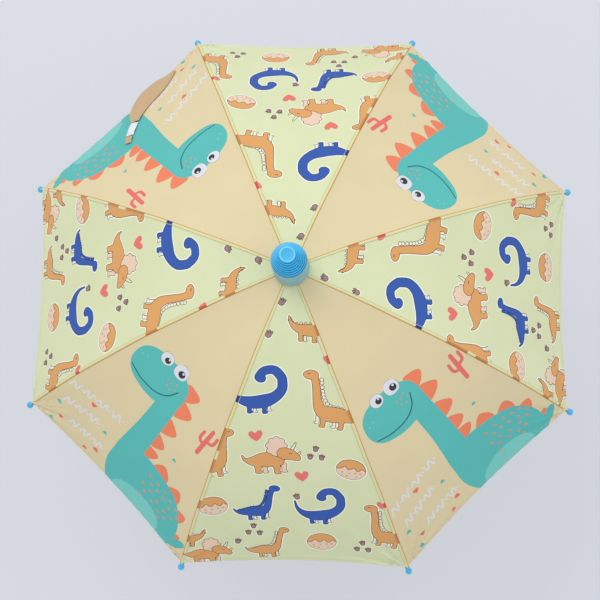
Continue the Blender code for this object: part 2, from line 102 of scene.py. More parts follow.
# ---- Colours ----
BEIGE = (228, 212, 168)
GREEN = (222, 228, 183)
TEAL = (90, 191, 184)
TEAL_LIGHT = (124, 208, 198)
TEAL_DARK = (38, 112, 116)
CORAL = (244, 134, 96)
CACTUS_RED = (235, 116, 108)
ORANGE = (228, 167, 101)
ORANGE_DARK = (98, 64, 40)
PEACH = (240, 210, 184)
BLUE = (54, 92, 174)
BLUE_DARK = (24, 44, 110)
MAUVE = (166, 132, 126)
MAUVE_DARK = (56, 38, 36)
HEART_RED = (236, 122, 112)
CREAM = (240, 240, 214)
HALO = (250, 250, 232)
WHITE = (226, 226, 230)
INK = (52, 56, 66)
SEAM_GOLD = (224, 188, 120)
SEAM_YELLOW = (232, 222, 164)
SEAM_PALE = (226, 226, 172)
# Painted shadow: the dark line along a seam's beige edge, where the raised band shades the cloth
SEAM_SHADOW_LINE = (158, 126, 80)


def linear(colour):
    """A colour of three 0 to 255 numbers as Blender's linear RGBA."""
    shares = [c / 255 for c in colour]
    values = [c / 12.92 if c <= 0.04045 else ((c + 0.055) / 1.055) ** 2.4 for c in shares]
    return (*values, 1.0)


def toned(colour, factor):
    return tuple(min(255, c * factor) for c in colour)


def deepened(colour):
    """The colour as a dye has it where cloth is folded double."""
    return tuple(255 * (c / 255) ** 1.45 for c in colour)


# ---- The umbrella's curve ----
def slope_at(s):
    return SLOPE_START + SLOPE_RATE * s


def cloth_at(s):
    """(radius, height) of the cloth over a rib, s along the rib from its pivot."""
    slope = slope_at(s)
    radius = PIVOT_RADIUS + (np.sin(slope) - math.sin(SLOPE_START)) / SLOPE_RATE
    height = CROWN_Z + (np.cos(slope) - math.cos(SLOPE_START)) / SLOPE_RATE
    return radius, height


def half_width(s):
    return cloth_at(s)[0] * math.sin(HALF_TURN) - SEAM_GAP


def rim_at(x):
    """How far down the flat panel the rim is, x across from its middle."""
    across = np.clip(x / half_width(CORNER_S), -1, 1)
    return CORNER_S - RIM_DIP * (1 - across**2)


def rib_angle(number):
    return HALF_TURN + TURN * (number - 1)


def round_z(angle):
    return Matrix.Rotation(angle, 4, "Z")


# ---- Meshes ----
def keep_mesh(name, mesh, materials, smooth_below=35):
    """The mesh as an object in the scene, smooth where it bends by less than an angle in degrees."""
    for material in materials:
        mesh.materials.append(material)
    mesh.shade_smooth()
    mesh.set_sharp_from_angle(angle=math.radians(smooth_below))
    made = bpy.data.objects.new(name, mesh)
    bpy.context.scene.collection.objects.link(made)
    return made


def mesh_object(name, points, faces, materials, smooth_below=35):
    mesh = bpy.data.meshes.new(name)
    mesh.from_pydata([tuple(p) for p in points], [], faces)
    mesh.update()
    return keep_mesh(name, mesh, materials, smooth_below)


def face_outwards(mesh):
    shape = bmesh.new()
    shape.from_mesh(mesh)
    bmesh.ops.recalc_face_normals(shape, faces=shape.faces[:])
    shape.to_mesh(mesh)
    shape.free()


def dye_faces(mesh, faces, colours):
    """Writes one linear colour for each face where the cloth materials read it."""
    attribute = mesh.color_attributes.new("print", "FLOAT_COLOR", "CORNER")
    corners = np.repeat(np.array(colours), [len(face) for face in faces], axis=0)
    attribute.data.foreach_set("color", corners.astype(np.float32).ravel())


def lofted(rings):
    """Points and faces of a closed skin over rings, each a loop with the same number of points."""
    count = len(rings[0])
    points = [Vector(p) for ring in rings for p in ring]
    faces = []
    for a in range(0, len(points) - count, count):
        for k in range(count):
            j = (k + 1) % count
            faces.append([a + k, a + j, a + count + j, a + count + k])
    faces.append(list(range(count))[::-1])
    faces.append(list(range(len(points) - count, len(points))))
    return points, faces


def turned(name, profile, steps, material, matrix):
    """A closed outline of (radius, height) points, spun round Z. The outline runs anticlockwise."""
    shape = bmesh.new()
    rings = []
    for radius, height in profile:
        on_axis = radius < 1e-7
        angles = [math.tau * i / steps for i in range(1 if on_axis else steps)]
        places = [(radius * math.cos(a), radius * math.sin(a), height) for a in angles]
        rings.append([shape.verts.new(place) for place in places])
    for ring, after in zip(rings, rings[1:] + rings[:1]):
        for i in range(steps):
            j = (i + 1) % steps
            corners = [ring[i % len(ring)], ring[j % len(ring)]]
            corners += [after[j % len(after)], after[i % len(after)]]
            corners = list(dict.fromkeys(corners))
            if len(corners) > 2:
                shape.faces.new(corners)
    bmesh.ops.recalc_face_normals(shape, faces=shape.faces[:])
    shape.transform(matrix)
    mesh = bpy.data.meshes.new(name)
    shape.to_mesh(mesh)
    shape.free()
    return keep_mesh(name, mesh, [material])


def arc(centre, radius, start, end, steps):
    """Points round a centre in the plane, from one angle in degrees to another."""
    angles = [math.radians(start + (end - start) * i / steps) for i in range(steps + 1)]
    return [(centre[0] + radius * math.cos(a), centre[1] + radius * math.sin(a)) for a in angles]


def spline(points, per_span, closed=False):
    """A smooth curve through points of any number of values."""
    rows = [np.array(p, float) for p in points]
    count = len(rows)
    made = []
    for i in range(count if closed else count - 1):
        near = range(i - 1, i + 3)
        a, b, c, d = (rows[k % count if closed else min(max(k, 0), count - 1)] for k in near)
        for t in (k / per_span for k in range(per_span)):
            cubic = (3 * b - a - 3 * c + d) * t**3
            made.append(0.5 * (2 * b + (c - a) * t + (2 * a - 5 * b + 4 * c - d) * t**2 + cubic))
    if not closed:
        made.append(rows[-1])
    return made


# ---- Drawing on flat cloth, in millimetres: x across, s down. A shape is a colour and an outline. ----
def blob(*points):
    return [tuple(p) for p in spline(points, 4, closed=True)]


def ellipse(x, s, wide, tall, turn=0, steps=20):
    c, n = math.cos(math.radians(turn)), math.sin(math.radians(turn))
    made = []
    for a in (math.tau * i / steps for i in range(steps)):
        u, v = wide * math.cos(a), tall * math.sin(a)
        made.append((x + u * c - v * n, s + u * n + v * c))
    return made


def limb(*route, per_span=4):
    """A stroke along (x, s, half its width), with round ends."""
    rows = spline(route, per_span)
    left, right = [], []
    for i, (x, s, wide) in enumerate(rows):
        ahead = rows[min(i + 1, len(rows) - 1)] - rows[max(i - 1, 0)]
        length = math.hypot(ahead[0], ahead[1]) or 1.0
        nx, ns = -ahead[1] / length * wide, ahead[0] / length * wide
        left.append((x + nx, s + ns))
        right.append((x - nx, s - ns))

    def cap(centre, start):
        """Three points round the end, on from start."""
        x, s, wide = centre
        first = math.atan2(start[1] - s, start[0] - x)
        angles = [first - math.pi * k / 4 for k in (1, 2, 3)]
        return [(x + wide * math.cos(a), s + wide * math.sin(a)) for a in angles]

    return left + cap(rows[-1], left[-1]) + right[::-1] + cap(rows[0], right[0])


def area_of(outline):
    total = 0.0
    for (x0, s0), (x1, s1) in zip(outline, outline[1:] + outline[:1]):
        total += x0 * s1 - x1 * s0
    return total / 2


def grown(outline, by):
    """The outline moved outwards along its own normals."""
    side = 1 if area_of(outline) > 0 else -1
    made = []
    for i, (x, s) in enumerate(outline):
        before, after = outline[i - 1], outline[(i + 1) % len(outline)]
        dx, ds = after[0] - before[0], after[1] - before[1]
        length = math.hypot(dx, ds) or 1.0
        made.append((x + side * ds / length * by, s - side * dx / length * by))
    return made


def placed(outline, x, s, size=1.0, flip=False, turn=0):
    c, n = math.cos(math.radians(turn)), math.sin(math.radians(turn))
    sign = -1 if flip else 1
    return [(x + size * (sign * u * c - v * n), s + size * (sign * u * n + v * c)) for u, v in outline]


def drawn(parts, colour, edge=None, edge_wide=LINE_WIDE):
    """Parts of one figure as (colour, outline) shapes: first their dark line, then the fill."""
    line = [(edge, grown(part, edge_wide)) for part in parts] if edge else []
    return line + [(colour, part) for part in parts]


def bumps(route, wide, count):
    """Small round plates along a line."""
    rows = spline(route, 8)
    picks = [rows[round(i * (len(rows) - 1) / (count - 1))] for i in range(count)]
    return [ellipse(x, s, wide, wide, steps=8) for x, s in picks]


def legs(spots, wide, long):
    """Short legs with small feet that point to the right, from the hip's place for each."""
    made = []
    for x, s in spots:
        knee = (x + 0.5, s + long * 0.6, wide * 0.72)
        made.append(limb((x, s, wide), knee, (x, s + long, wide * 0.66), per_span=2))
        made.append(ellipse(x + 1.6, s + long, wide * 0.95, wide * 0.55, steps=10))
    return made


def figure(groups, x, s, size, turn=0, flip=False):
    """A whole figure from (parts, colour, edge) groups, with one pale halo behind all of them."""
    groups = [([placed(part, x, s, size, flip, turn) for part in parts], *look) for parts, *look in groups]
    large = [part for parts, *_ in groups for part in parts if abs(area_of(part)) > HALO_FROM]
    shapes = [(HALO, grown(part, HALO_WIDE)) for part in large]
    for parts, colour, edge in groups:
        shapes += drawn(parts, colour, edge)
    return shapes


def long_neck(colour, edge, plates=True):
    """A plain long-necked animal that looks to the right. Every animal is 100 across before scaling."""
    tail_to_neck = (
        (-50, 13, 0.7), (-44, 20, 2.2), (-33, 22, 6), (-16, 19, 11), (2, 19, 12),
        (14, 13, 8.6), (20, -2, 5.8), (23, -20, 5), (27, -36, 4.8),
    )
    body = [limb(*tail_to_neck), ellipse(33, -40, 10.5, 7, 6, steps=16)]
    back = ((17, -34), (14, -18), (10, -5), (1, 6), (-14, 8), (-28, 13), (-40, 17))
    eye = limb((34, -42, 0.5), (36, -40.6, 0.5), (38, -42, 0.5), per_span=2)
    return [
        (bumps(back, 2.5, 17), CREAM if plates else colour, edge),
        (legs(((-8, 24), (16, 20)), 3, 15), CREAM, edge),
        (body + legs(((-18, 26), (8, 25)), 4.2, 14), colour, edge),
        ([eye], edge, None),
    ]


def curled_neck():
    """A plain animal whose neck curls round above its back."""
    tail_to_neck = (
        (-50, -14, 0.7), (-46, 2, 2.4), (-34, 15, 6), (-14, 21, 10.5),
        (6, 19, 11.5), (24, 11, 9), (36, -4, 7.6), (36, -24, 7.2),
    )
    body = [
        limb(*tail_to_neck),
        limb((36, -24, 7.2), (24, -38, 7.2), (7, -37, 7), (-2, -26, 7)),
        ellipse(0, -24, 9, 7.4, 30, steps=16),
    ]
    return [
        (legs(((-10, 24), (14, 21)), 3, 15), CREAM, BLUE_DARK),
        (body + legs(((-19, 25), (6, 26)), 4.2, 14), BLUE, BLUE_DARK),
    ]


def horned():
    """A plain horned animal with a round frill."""
    body = [limb((-50, 4, 0.7), (-45, 12, 3), (-32, 15, 9), (-12, 12, 14), (8, 12, 13.5))]
    lobes = np.radians((150, 190, 230, 270, 310, 350))
    frill = [ellipse(8 + 13 * math.cos(a), -14 + 15 * math.sin(a), 5.4, 5.4, steps=9) for a in lobes]
    frill.append(ellipse(9, -12, 15, 17, steps=18))
    head = [limb((20, -1, 11.5), (32, 2, 10), (43, 8, 5.6))]
    horns = [limb((33, -8, 2.4), (37, -15, 1.7), (40, -22, 0.7)), limb((44, 2, 2.1), (48, -4, 0.7))]
    eye = limb((29, -2, 0.6), (31.5, -0.4, 0.6), (34, -2, 0.6), per_span=2)
    return [
        (legs(((-12, 24), (20, 22)), 4.6, 13), PEACH, ORANGE_DARK),
        (body + legs(((-24, 24), (8, 25)), 6, 13), ORANGE, ORANGE_DARK),
        (frill, PEACH, ORANGE_DARK),
        (horns, CREAM, ORANGE_DARK),
        (head, ORANGE, ORANGE_DARK),
        ([eye], ORANGE_DARK, None),
    ]


def spiny():
    """A plain low animal with a row of back plates."""
    route = ((-50, -16, 0.7), (-45, -2, 3.4), (-30, 10, 8.5), (-6, 13, 13.5), (18, 12, 12), (38, 17, 6.5))
    spots = ((-47, -8), (-41, 0), (-32, 2), (-22, 1), (-12, 0), (-2, 0), (8, 1), (18, 2), (27, 6))
    plates = [placed(blob((-4, 3), (0, -5), (4, 3)), u, v) for u, v in spots]
    return [
        (plates, CREAM, ORANGE_DARK),
        (legs(((-10, 24), (20, 22)), 3.4, 14), CREAM, ORANGE_DARK),
        ([limb(*route)] + legs(((-20, 24), (10, 24)), 5, 14), ORANGE, ORANGE_DARK),
    ]


def egg():
    """A speckled egg that lies on its side, with a zigzag band."""
    shell = blob((-46, 2), (-34, -24), (-4, -36), (28, -28), (44, 0), (30, 26), (-2, 35), (-34, 25))
    cap = blob(
        (-46, 0), (-34, -25), (-4, -36), (28, -28), (44, -4),
        (31, -11), (20, 1), (6, -10), (-8, 1), (-22, -10), (-34, 1),
    )
    orange_spots = [ellipse(u, v, 4.4, 3.4, steps=8) for u, v in ((-26, 14), (14, 10), (30, 8), (-10, 26))]
    teal_spots = [ellipse(u, v, 4, 3.2, steps=8) for u, v in ((-4, 14), (20, 22), (-24, 24))]
    return [
        ([shell], PEACH, MAUVE),
        ([cap], ORANGE, ORANGE_DARK),
        (orange_spots, ORANGE, None),
        (teal_spots, TEAL_LIGHT, None),
    ]


def footprint(x, s, size, turn=0):
    pad = blob((0, 4), (3, 2.2), (3, -0.6), (0, -1.4), (-3, -0.6), (-3, 2.2))
    toe_ends = ((-3.4, -4.2), (0, -5.4), (3.4, -4.2))
    toes = [limb((u * 0.6, -0.5, 1.1), (u, v, 0.8), per_span=2) for u, v in toe_ends]
    parts = [placed(p, x, s, size, False, turn) for p in [pad, *toes]]
    return [(HALO, grown(parts[0], 2.0)), *drawn(parts, MAUVE, MAUVE_DARK, 0.8)]


def heart(x, s, size, turn=0):
    half = [(0, -2.2), (2.2, -4.4), (4.8, -4), (5.6, -1.4), (4, 1.8), (2, 3.8)]
    outline = half + [(0, 5.2)] + [(-u, v) for u, v in half[:0:-1]]
    return drawn([placed(outline, x, s, size, False, turn)], HEART_RED)


def footprints(x, s, turn=0):
    """Three footprints in a triangle."""
    spots = ((0, -7), (-7.5, 5.5), (8, 6.5))
    return [shape for u, v in spots for shape in footprint(x + u, s + v, 0.86, turn)]


def green_print():
    """The small print. Figures come with x, s, size, degrees of turn, and whether they look to the left."""
    orange = long_neck(ORANGE, ORANGE_DARK)
    blue = long_neck(BLUE, BLUE_DARK, plates=False)
    curled, three_horned, plated, speckled = curled_neck(), horned(), spiny(), egg()
    shapes = footprint(-12, 40, 1.05, 20) + footprint(-29, 86, 1.05, 15)
    shapes += footprint(7, 337, 0.95, -20) + footprint(-77, 421, 0.95, 15)
    shapes += footprints(33, 264, 10) + footprints(-54, 398) + footprints(96, 427, -10)
    shapes += heart(-47, 236, 1.75, -8) + heart(14, 301, 1.75, -8)
    shapes += heart(50, 121, 1.3) + heart(122, 346, 1.3)
    for row in (
        (plated, 27, 72, 0.60, 6), (curled, -40, 168, 0.80), (orange, 54, 184, 0.94, 6, True),
        (orange, -108, 268, 0.84, -8), (three_horned, -26, 265, 0.80), (speckled, 81, 288, 0.44, 12),
        (speckled, -108, 353, 0.44, -4), (speckled, 40, 419, 0.44, 2), (blue, -46, 350, 0.68),
        (curled, 40, 354, 0.72), (orange, 130, 390, 0.84, 8, True), (plated, -152, 407, 0.6, 0, True),
        (orange, -34, 424, 0.66), (three_horned, -120, 438, 0.70),
    ):
        shapes += figure(*row)
    return shapes


def plate(x, s, long, wide, turn):
    """A rounded plate that stands out to the right of (x, s) before it is turned."""
    outline = blob(
        (-4, -wide / 2), (long * 0.55, -wide * 0.36), (long, 0), (long * 0.5, wide * 0.42), (-4, wide / 2)
    )
    return placed(outline, x, s, 1.0, False, turn)


def beige_print():
    return plates_and_body() + face() + body_spots() + branching_plant() + wave_rows() + flecks()


def plates_and_body():
    """The large animal: back plates, then head, neck, body and tail in one colour, and its pale side."""
    neck_plates = (
        (14, 233, 20, 24, -14), (17, 261, 24, 27, -4), (18, 298, 22, 26, 4), (18, 330, 20, 24, 4),
        (20, 356, 20, 20, -18),
    )
    back_plates = (
        (55, 369, 17, 28, -88), (88, 380, 16, 26, -68), (112, 401, 14, 20, -38), (127, 438, 10, 12, -50),
    )
    shapes = drawn([plate(*row) for row in neck_plates + back_plates], CORAL, toned(CORAL, 0.84), 0.4)
    head = blob(
        (-79, 246), (-74, 228), (-60, 217), (-36, 213), (-8, 216), (10, 226),
        (17, 242), (16, 262), (4, 278), (-30, 284), (-62, 276), (-76, 262),
    )
    neck = limb((1, 256, 16), (2, 290, 16.5), (2, 330, 17.5), (-0.5, 388, 20.5))
    trunk = blob(
        (-16, 380), (-21, 402), (-20, 430), (-8, 458), (20, 486), (90, 486),
        (124, 462), (126, 434), (117, 405), (96, 382), (62, 370), (18, 365),
    )
    tail = limb((116, 448, 17), (131, 448, 8.5), (141, 438, 6.2))
    shapes += drawn([head, neck, trunk, tail], TEAL)
    return shapes + drawn([ellipse(52, 456, 47, 27)], TEAL_LIGHT)


def face():
    """The large animal's plain smile, round eyes, nostrils and cheek dots."""
    smile = limb((-73, 263, 0.9), (-50, 271, 1), (-24, 271, 1), (-6, 261, 1), (3, 244, 0.9))
    shapes = drawn([smile], TEAL_DARK)
    for x, wide in ((-38, 10), (-11, 11.5)):
        shapes += drawn([ellipse(x, 217, wide, wide)], WHITE, TEAL_DARK, 0.45)
        shapes += drawn([ellipse(x + 2, 219, wide * 0.48, wide * 0.48, steps=14)], INK)
        shapes += drawn([ellipse(x + 3.4, 216.4, wide * 0.16, wide * 0.16, steps=8)], WHITE)
    nostrils = ((-69, 239), (-61, 236))
    shapes += drawn([ellipse(x, s, 1.2, 1.7, 20, steps=8) for x, s in nostrils], TEAL_LIGHT)
    cheeks = ((-12, 241), (-5, 237), (-16, 248), (-2, 245), (-9, 251), (-19, 240))
    return shapes + drawn([ellipse(x, s, 1.1, 1.5, 25, steps=8) for x, s in cheeks], CORAL)


def body_spots():
    """Small slanted spots in loose rows over the back, above the pale side."""
    spots = []
    for row in range(5):
        for column in range(5):
            x = 46 + column * 15 + (row % 2) * 7 + 2 * math.sin(row * 2.1 + column)
            s = 384 + row * 12 + column * 2.4 + 2 * math.cos(row + column * 1.7)
            if (x - 40) / 80 + (s - 380) / 130 < 1.2 and s < 432 + (x - 52) * 0.15:
                spots.append(ellipse(x, s, 1.6, 3.1, -50 + 20 * math.sin(x), steps=8))
    return drawn(spots, CORAL)


def branching_plant():
    branches = [
        limb((76, 289, 3.4), (76, 264, 3.4), (76, 245, 3.0)),
        limb((66, 255, 2.3), (66.5, 268, 2.5), (75, 272, 2.5)),
        limb((87, 248, 2.3), (86.5, 261, 2.5), (77, 265, 2.5)),
    ]
    return drawn(branches, CACTUS_RED)


def flecks():
    """Small wedges of colour, most of them round the waves: x, s, colour, turn and size."""
    wedge = blob((-4.5, 2.2), (0, -3.6), (4.5, 2.2))
    rows = (
        (-79, 370, CACTUS_RED, 180, 1.1), (-124, 416, TEAL, 10, 1.0), (-43, 393, TEAL, 0, 0.9),
        (-111, 439, CACTUS_RED, 184, 1.0), (-40, 434, CACTUS_RED, 6, 1.1), (59, 330, TEAL, 0, 0.8),
        (-56, 449, CACTUS_RED, -20, 0.9), (-122, 455, TEAL, 10, 0.9),
    )
    return [shape for x, s, colour, turn, size in rows
            for shape in drawn([placed(wedge, x, s, size, False, turn)], colour)]


def wave_rows():
    """Three rows of plain white wave strokes, each stroke with a dot after it."""
    rows = (((-126, 368), (-28, 351), 4), ((-121, 402), (-54, 388), 3), ((-96, 429), (-30, 421), 3))
    steps = 8
    strokes = []
    for (x0, s0), (x1, s1), count in rows:
        long = (x1 - x0) / count
        for i in range(count):
            route = []
            for share in (k / steps for k in range(steps + 1)):
                x = x0 + long * (i + 0.72 * share)
                rise = 6.5 * math.cos(3 * math.pi * share + i) * (0.8 + 0.2 * share)
                route.append((x, s0 + (s1 - s0) * (x - x0) / (x1 - x0) + rise, 1.3))
            strokes.append(limb(*route, per_span=2))
            dot_s = s0 + (s1 - s0) * (i + 0.9) / count
            strokes.append(ellipse(x0 + long * (i + 0.88), dot_s, 1.7, 1.7, steps=8))
    return drawn(strokes, WHITE)


# ---- Materials ----
def set_inputs(material, node, inputs):
    """Sets a node's inputs, named with _ for a space, each to a value or a link from a socket."""
    for name, value in inputs.items():
        socket = node.inputs[name.replace("_", " ")]
        if isinstance(value, bpy.types.NodeSocket):
            material.node_tree.links.new(value, socket)
        else:
            socket.default_value = value


def add_node(material, kind, settings=None, **inputs):
    made = material.node_tree.nodes.new("ShaderNode" + kind)
    for name, value in (settings or {}).items():
        setattr(made, name, value)
    set_inputs(material, made, inputs)
    return made


def set_shader(material, **inputs):
    set_inputs(material, material.node_tree.nodes["Principled BSDF"], inputs)


def new_material(name, colour, roughness, **inputs):
    made = bpy.data.materials.new(name)
    made.use_nodes = True
    set_shader(made, Base_Color=linear(colour), Roughness=roughness, **inputs)
    return made


def noise_value(material, scale, detail=3.0, stretch=(1, 1, 1)):
    where = add_node(material, "TexCoord").outputs["Object"]
    mapped = add_node(material, "Mapping", Vector=where, Scale=stretch).outputs["Vector"]
    return add_node(material, "TexNoise", Vector=mapped, Scale=scale, Detail=detail).outputs["Fac"]


def spread_between(material, value, low, high):
    """A value from 0 to 1, spread between two others."""
    return add_node(material, "MapRange", Value=value, To_Min=low, To_Max=high).outputs["Result"]


def vary_colour(material, scale, amount, source):
    """Gives the shader a colour, or a socket's colour, made a little lighter and darker by noise."""
    factor = spread_between(material, noise_value(material, scale), 1 - amount, 1 + amount)
    scaled = add_node(material, "VectorMath", {"operation": "SCALE"}, Vector=source, Scale=factor)
    set_shader(material, Base_Color=scaled.outputs["Vector"])


def vary_roughness(material, scale, low, high, stretch=(1, 1, 1)):
    smudge = noise_value(material, scale, 4.0, stretch)
    set_shader(material, Roughness=spread_between(material, smudge, low, high))


def add_bump(material, height, strength, distance):
    """Raises the surface by up to a distance in metres where the height is 1."""
    bump = add_node(material, "Bump", Height=height, Strength=strength, Distance=distance)
    set_shader(material, Normal=bump.outputs["Normal"])


def weave_height(material, scale):
    """A plain weave from two sets of waves, on the flat cloth's own coordinates in metres."""
    flat = add_node(material, "UVMap", {"uv_map": "flat"}).outputs["UV"]
    heights = []
    for direction in ("X", "Y"):
        threads = add_node(material, "TexWave", {"bands_direction": direction}, Vector=flat, Scale=scale)
        set_inputs(material, threads, {"Distortion": 0.4, "Detail": 1.0})
        heights.append(threads.outputs["Fac"])
    product = add_node(material, "Math", {"operation": "MULTIPLY"})
    for height, socket in zip(heights, product.inputs):
        material.node_tree.links.new(height, socket)
    return product.outputs["Value"]


def cloth_material(name, colour, hidden):
    """Printed polyester. Hidden is how far the cloth's own colour covers the print, 0 on the front."""
    made = new_material(name, colour, 0.72, Sheen_Weight=0.12, Sheen_Roughness=0.4, Specular_IOR_Level=0.3)
    dye = add_node(made, "Attribute", {"attribute_name": "print"}).outputs["Color"]
    if hidden:
        plain = linear(toned(colour, 0.97))
        dye = add_node(made, "Mix", {"data_type": "RGBA"}, Factor=hidden, A=dye, B=plain).outputs["Result"]
    vary_colour(made, 16, 0.045, dye)
    vary_roughness(made, 45, 0.64, 0.8)
    add_bump(made, weave_height(made, 130), 0.25, 0.08 * MM)
    return made


def plastic(name, colour, roughness, **inputs):
    made = new_material(name, colour, roughness, **inputs)
    vary_colour(made, 60, 0.03, linear(colour)[:3])
    vary_roughness(made, 110, roughness * 0.8, roughness * 1.25)
    add_bump(made, noise_value(made, 900, 2.0), 0.08, 0.1 * MM)
    return made


def steel_material():
    """Drawn steel, with fine lines along Z."""
    colour = (200, 203, 206)
    made = new_material("bright_steel", colour, 0.24, Metallic=1.0)
    vary_colour(made, 30, 0.05, linear(colour)[:3])
    vary_roughness(made, 160, 0.16, 0.36, (1, 1, 0.15))
    add_bump(made, noise_value(made, 1400, 2.0, (1, 1, 0.03)), 0.1, 0.05 * MM)
    return made


def plain_cloth(name, colour):
    made = new_material(name, colour, 0.8, Sheen_Weight=0.15)
    vary_colour(made, 70, 0.06, linear(colour)[:3])
    add_bump(made, noise_value(made, 2400, 2.0), 0.35, 0.2 * MM)
    return made


GREEN_CLOTH = cloth_material("green_cloth_front", GREEN, 0)
GREEN_BACK = cloth_material("green_cloth_back", GREEN, 0.45)
BEIGE_CLOTH = cloth_material("beige_cloth_front", BEIGE, 0)
BEIGE_BACK = cloth_material("beige_cloth_back", BEIGE, 0.45)
STRAP_CLOTH = plain_cloth("strap_cloth", (203, 172, 130))
HOOK_TAPE = plain_cloth("hook_tape", (234, 234, 238))
SKY_BLUE = plastic("sky_blue_plastic", (62, 190, 240), 0.24, Coat_Weight=0.3, Coat_Roughness=0.12)
CAP_BLUE = plastic("cap_blue_plastic", (58, 180, 230), 0.32, Coat_Weight=0.2, Coat_Roughness=0.2)
# Painted highlight: a lighter blue for the lip round the cap's recess, where light catches its edge
LIP_HIGHLIGHT_BLUE = plastic("lip_highlight_blue_plastic", (104, 212, 246), 0.28, Coat_Weight=0.3, Coat_Roughness=0.15)
FROSTED = plastic("frosted_plastic", (146, 206, 218), 0.4, Transmission_Weight=0.2, IOR=1.45)
DARK_PLASTIC = plastic("dark_plastic", (40, 41, 44), 0.42)
PALE_PLASTIC = plastic("pale_plastic", (226, 230, 226), 0.35)
STEEL = steel_material()


# ---- Canopy panels ----
SAG_RUN = RIB_LENGTH * 1.12  # the sag is a half wave this long, cut off at the rim
UNEVEN = 0.9 * MM
CREASE = 0.85 * MM
CREASE_REACH = 80 * MM
FINE_CREASE = 0.7 * MM
FINE_REACH = 55 * MM
PUCKER = 0.22 * MM
PUCKER_REACH = 6 * MM
RIPPLE = 0.25 * MM
RIPPLE_REACH = 7 * MM
STITCH_EVERY = 3.4 * MM
STITCH_LONG = 2.5 * MM
STITCH_WIDE = 0.5 * MM
STITCH_TALL = 0.2 * MM
STITCH_IN = 5.4 * MM  # from the rim


def wrapped(x, s, lift):
    """Points on the panel that faces +X, from arrays of flat cloth coordinates and a lift off the cloth."""
    radius, height = cloth_at(s)
    slope = slope_at(s)
    normal = np.stack([np.sin(slope), 0 * slope, np.cos(slope) * math.cos(HALF_TURN)], -1)
    normal /= np.linalg.norm(normal, axis=-1, keepdims=True)
    return np.stack([radius * math.cos(HALF_TURN), x, height], -1) + normal * np.asarray(lift)[..., None]


def panel_seed(number):
    """What sets one panel's creases apart from another's."""
    return number * 3.7


def smooth_step(value):
    value = np.clip(value, 0, 1)
    return value * value * (3 - 2 * value)


def noise_at(x, s, scale, seed):
    values = [noise.noise(Vector((a * scale, b * scale, seed))) for a, b in zip(x.ravel(), s.ravel())]
    return np.array(values).reshape(x.shape)


def cloth_lift(x, s, seed):
    """How far the cloth stands off the straight line between its ribs: sag, creases, puckers and hem."""
    half = half_width(s)
    across = np.clip(np.abs(x) / half, 0, 1)
    lift = -SAG * (1 - across**2) * np.sin(np.pi * np.clip(s / SAG_RUN, 0, 1)) ** 0.8
    lift += UNEVEN * noise_at(x, s, 11, seed) * (1 - across**2)
    for side in (-1, 1):
        aside = side * (half_width(CORNER_S) * side - x)
        lift += corner_creases(aside, CORNER_S - s, side, seed) * smooth_step((1 - across) * 8)
    pucker = np.sin(s / (2.3 * MM) + 2.2 * np.sin(s / (19 * MM) + seed) + np.sign(x))
    lift += PUCKER * np.exp(-(half - np.abs(x)) / PUCKER_REACH) * pucker
    from_rim = rim_at(x) - s
    lift += HEM_RAISE * smooth_step((HEM_WIDE + 0.5 * MM - from_rim) / (1 * MM))
    ripple = np.sin(x / (3.4 * MM) + 3 * np.sin(x / (31 * MM) + seed))
    return lift + RIPPLE * np.exp(-np.clip(from_rim, 0, 1) / RIPPLE_REACH) * ripple


def corner_creases(aside, above, side, seed):
    """Creases that fan out from a corner of the panel, by how far aside and above it a point is."""
    away = np.hypot(aside, above)
    angle = np.arctan2(above, aside)
    fade = smooth_step(away / (20 * MM)) * np.exp(-((away / CREASE_REACH) ** 2))
    crease = np.sin(12 * angle + seed * 1.7 + side) + 0.5 * np.sin(21 * angle + seed * 2.9)
    fine = np.abs(np.sin(19 * angle + seed * 2.3 + 2 * side)) ** 6 * np.exp(-((away / FINE_REACH) ** 2))
    return CREASE * fade * crease + FINE_CREASE * fine * smooth_step(away / (9 * MM))


def panel_outline():
    """The flat panel's edge in millimetres, down one side, along the rim and up the other."""
    down = np.linspace(CLOTH_FROM, CORNER_S, 70)
    side = [(half_width(s) / MM, s / MM) for s in down]
    across = np.linspace(half_width(CORNER_S), -half_width(CORNER_S), 80)[1:-1]
    rim = [(x / MM, float(rim_at(x)) / MM) for x in across]
    return side + rim + [(-x, s) for x, s in reversed(side)]


def top_shapes(shapes, xs, ss):
    """The number of the topmost shape over each point, counted from 1, or 0 on bare cloth."""
    top = np.zeros(len(xs), int)
    for number, (_, outline) in enumerate(shapes, 1):
        inside = np.zeros(len(xs), bool)
        for (x0, s0), (x1, s1) in zip(outline, outline[1:] + outline[:1]):
            if s0 != s1:
                between = (s0 > ss) != (s1 > ss)
                inside ^= between & (xs < x0 + (ss - s0) * (x1 - x0) / (s1 - s0))
        top[inside] = number
    return top


def colour_of(shapes, number):
    return shapes[number - 1][0] if number else None


def colour_borders(faces, colours):
    """The edges where two colours meet and where the panel ends."""
    beside = {}
    for face, colour in zip(faces, colours):
        for a, b in zip(face, face[1:] + face[:1]):
            beside.setdefault((min(a, b), max(a, b)), []).append(colour)
    return sorted(edge for edge, found in beside.items() if len(found) == 1 or found[0] != found[1])


def welded(points, edges):
    """Only the points that the edges use, with those in the same small cell made one."""
    cells, order, kept = {}, {}, []
    for v in sorted({v for edge in edges for v in edge}):
        cell = tuple(round(c / WELD) for c in points[v])
        if cell not in cells:
            cells[cell] = len(kept)
            kept.append(points[v])
        order[v] = cells[cell]
    pairs = {(min(order[a], order[b]), max(order[a], order[b])) for a, b in edges}
    return kept, sorted((a, b) for a, b in pairs if a != b)


